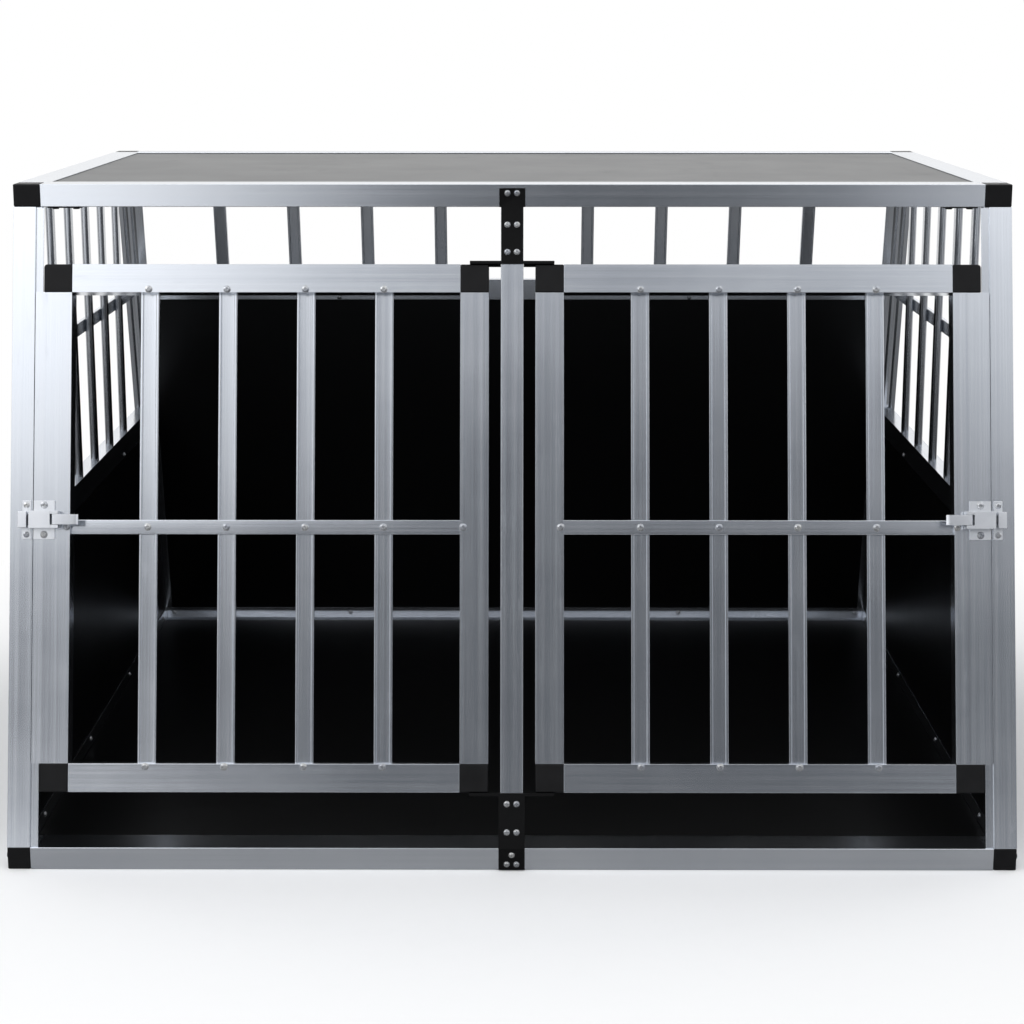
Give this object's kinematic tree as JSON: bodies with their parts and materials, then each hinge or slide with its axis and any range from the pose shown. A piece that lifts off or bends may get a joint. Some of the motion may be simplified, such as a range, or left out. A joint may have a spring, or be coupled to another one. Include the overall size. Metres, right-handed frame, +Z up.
{
  "type": "dog crate",
  "caption": "Aluminium dog crate for a car boot, slanted at front and rear, with dark boards, barred upper walls and side-by-side barred doors hinged on a centre post.",
  "frame": {"origin": "centre of the bounding box on the ground plane", "axes": "+X to the crate's right as seen from the doors, +Y from the doors to the rear wall, +Z up"},
  "size_m": [1.04, 0.9492, 0.69],
  "materials": {
    "tube": "natural anodised extrusion, satin, with fine lengthwise die lines",
    "bar": "natural anodised extrusion with a bright rounded rib along each edge",
    "connector": "black moulded, finely textured",
    "board": "fibreboard with a smooth black satin coating",
    "bracket": "black textured powder coat",
    "latch": "satin, lightly brushed",
    "fastener": "bright zinc plating"
  },
  "bodies": {
    "frame": {"front_bottom_rail": "tube", "rear_bottom_rail": "tube", "left_bottom_rail": "tube", "right_bottom_rail": "tube", "front_top_rail": "tube", "rear_top_rail": "tube", "left_top_rail": "tube", "right_top_rail": "tube", "left_front_post": "tube", "right_front_post": "tube", "centre_post": "tube", "left_rear_post": "tube", "right_rear_post": "tube", "left_mid_rail": "tube", "right_mid_rail": "tube", "rear_mid_rail": "tube", "floor_panel": "board", "roof_panel": "board", "rear_panel": "board", "left_side_panel": "board", "right_side_panel": "board", "rear_bars": "bar", "left_bars": "bar", "right_bars": "bar", "side_cross_bars": "bar", "lower_corners": "connector", "upper_corners": "connector", "top_bracket": "bracket", "bottom_bracket": "bracket", "hinge_pins": "fastener", "corner_plates": "bracket", "latch_keepers": "latch", "frame_screws": "fastener", "panel_rivets": "fastener"},
    "left_door": {"left_door_top_rail": "tube", "left_door_bottom_rail": "tube", "left_door_hinge_stile": "tube", "left_door_latch_stile": "tube", "left_door_mid_rail": "tube", "left_door_bars": "bar", "left_door_corners": "connector", "left_door_screws": "fastener", "left_latch_base": "latch", "left_latch_pin": "fastener"},
    "right_door": {"right_door_top_rail": "tube", "right_door_bottom_rail": "tube", "right_door_hinge_stile": "tube", "right_door_latch_stile": "tube", "right_door_mid_rail": "tube", "right_door_bars": "bar", "right_door_corners": "connector", "right_door_screws": "fastener", "right_latch_base": "latch", "right_latch_pin": "fastener"},
    "left_lever": {"left_latch_lever": "latch"},
    "left_bolt": {"left_latch_bolt": "latch"},
    "right_lever": {"right_latch_lever": "latch"},
    "right_bolt": {"right_latch_bolt": "latch"}
  },
  "joints": [
    {"name": "left_door_swing", "type": "hinge", "parent": "frame", "child": "left_door", "pos_m": [-0.039, -0.44433, 0.07562], "axis": [0, 0.2528, 0.9675], "range_deg": [0, 88]},
    {"name": "right_door_swing", "type": "hinge", "parent": "frame", "child": "right_door", "pos_m": [0.039, -0.44433, 0.07562], "axis": [0, -0.2528, -0.9675], "range_deg": [0, 88]},
    {"name": "left_lever_pull", "type": "hinge", "parent": "left_door", "child": "left_lever", "pos_m": [-0.4715, -0.397, 0.35368], "axis": [0, -0.2528, -0.9675], "range_deg": [-25, 25]},
    {"name": "left_bolt_slide", "type": "slide", "parent": "left_door", "child": "left_bolt", "axis": [1, 0, 0], "range_m": [-0.004, 0.004]},
    {"name": "right_lever_pull", "type": "hinge", "parent": "right_door", "child": "right_lever", "pos_m": [0.4715, -0.397, 0.35368], "axis": [0, 0.2528, 0.9675], "range_deg": [-25, 25]},
    {"name": "right_bolt_slide", "type": "slide", "parent": "right_door", "child": "right_bolt", "axis": [-1, 0, 0], "range_m": [-0.004, 0.004]}
  ],
  "couplings": [
    {"joint": "left_bolt_slide", "follows": "left_lever_pull", "m_per_rad": 0.009},
    {"joint": "right_bolt_slide", "follows": "right_lever_pull", "m_per_rad": 0.009}
  ]
}
